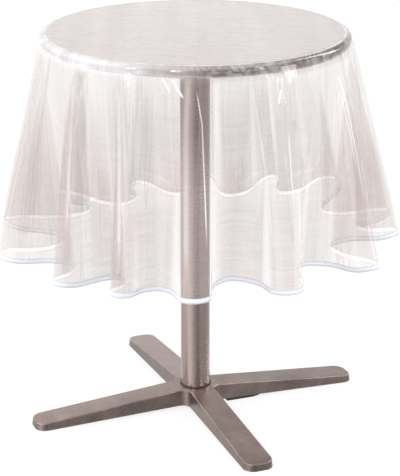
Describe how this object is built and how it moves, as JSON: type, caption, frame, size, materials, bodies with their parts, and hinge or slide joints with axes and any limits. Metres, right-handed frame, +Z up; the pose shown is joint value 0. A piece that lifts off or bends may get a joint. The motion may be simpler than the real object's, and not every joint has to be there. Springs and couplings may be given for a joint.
{
  "type": "tablecloth on a table",
  "caption": "Round pedestal table on a four-armed cast base, covered by a round clear film tablecloth that falls in deep folds to a taped hem and lifts off.",
  "frame": {"origin": "on the floor, on the axis of the column", "axes": "+Z up; -Y is the front, towards the viewer, and +X is to the viewer's right"},
  "size_m": [0.7753, 0.7266, 0.7511],
  "materials": {
    "clear_film": "clear soft film, glossy",
    "white_tape": "white woven bias tape",
    "brushed_sheet": "warm grey metal sheet, brushed one way",
    "top_board": "raw particle board",
    "bracket_iron": "black painted casting",
    "taupe_column": "taupe satin metal, fine brush marks round it",
    "taupe_casting": "taupe satin coat on a casting",
    "zinc_steel": "zinc plated",
    "dark_rubber": "matt",
    "black_plastic": "moulded"
  },
  "bodies": {
    "table": {"top_sheet": "brushed_sheet", "top_core": "top_board", "top_bracket": "bracket_iron", "bracket_screw_1": "zinc_steel", "bracket_screw_2": "zinc_steel", "bracket_screw_3": "zinc_steel", "bracket_screw_4": "zinc_steel", "column_tube": "taupe_column", "seat_ring": "dark_rubber", "tie_rod": "zinc_steel", "top_washer": "zinc_steel", "top_nut": "zinc_steel", "bottom_washer": "zinc_steel", "bottom_nut": "zinc_steel", "base_casting": "taupe_casting", "rubber_block": "dark_rubber"},
    "cloth": {"tablecloth": "clear_film", "hem_binding": "white_tape"},
    "glide_1": {"glide_pad_1": "black_plastic", "glide_stem_1": "zinc_steel"},
    "glide_2": {"glide_pad_2": "black_plastic", "glide_stem_2": "zinc_steel"},
    "glide_3": {"glide_pad_3": "black_plastic", "glide_stem_3": "zinc_steel"},
    "glide_4": {"glide_pad_4": "black_plastic", "glide_stem_4": "zinc_steel"}
  },
  "joints": [
    {"name": "cloth_lift", "type": "slide", "parent": "table", "child": "cloth", "axis": [0, 0, 1], "range_m": [0, 0.45]},
    {"name": "glide_screw_1", "type": "slide", "parent": "table", "child": "glide_1", "axis": [0, 0, 1], "range_m": [-0.004, 0]},
    {"name": "glide_screw_2", "type": "slide", "parent": "table", "child": "glide_2", "axis": [0, 0, 1], "range_m": [-0.004, 0]},
    {"name": "glide_screw_3", "type": "slide", "parent": "table", "child": "glide_3", "axis": [0, 0, 1], "range_m": [-0.004, 0]},
    {"name": "glide_screw_4", "type": "slide", "parent": "table", "child": "glide_4", "axis": [0, 0, 1], "range_m": [-0.004, 0]}
  ]
}
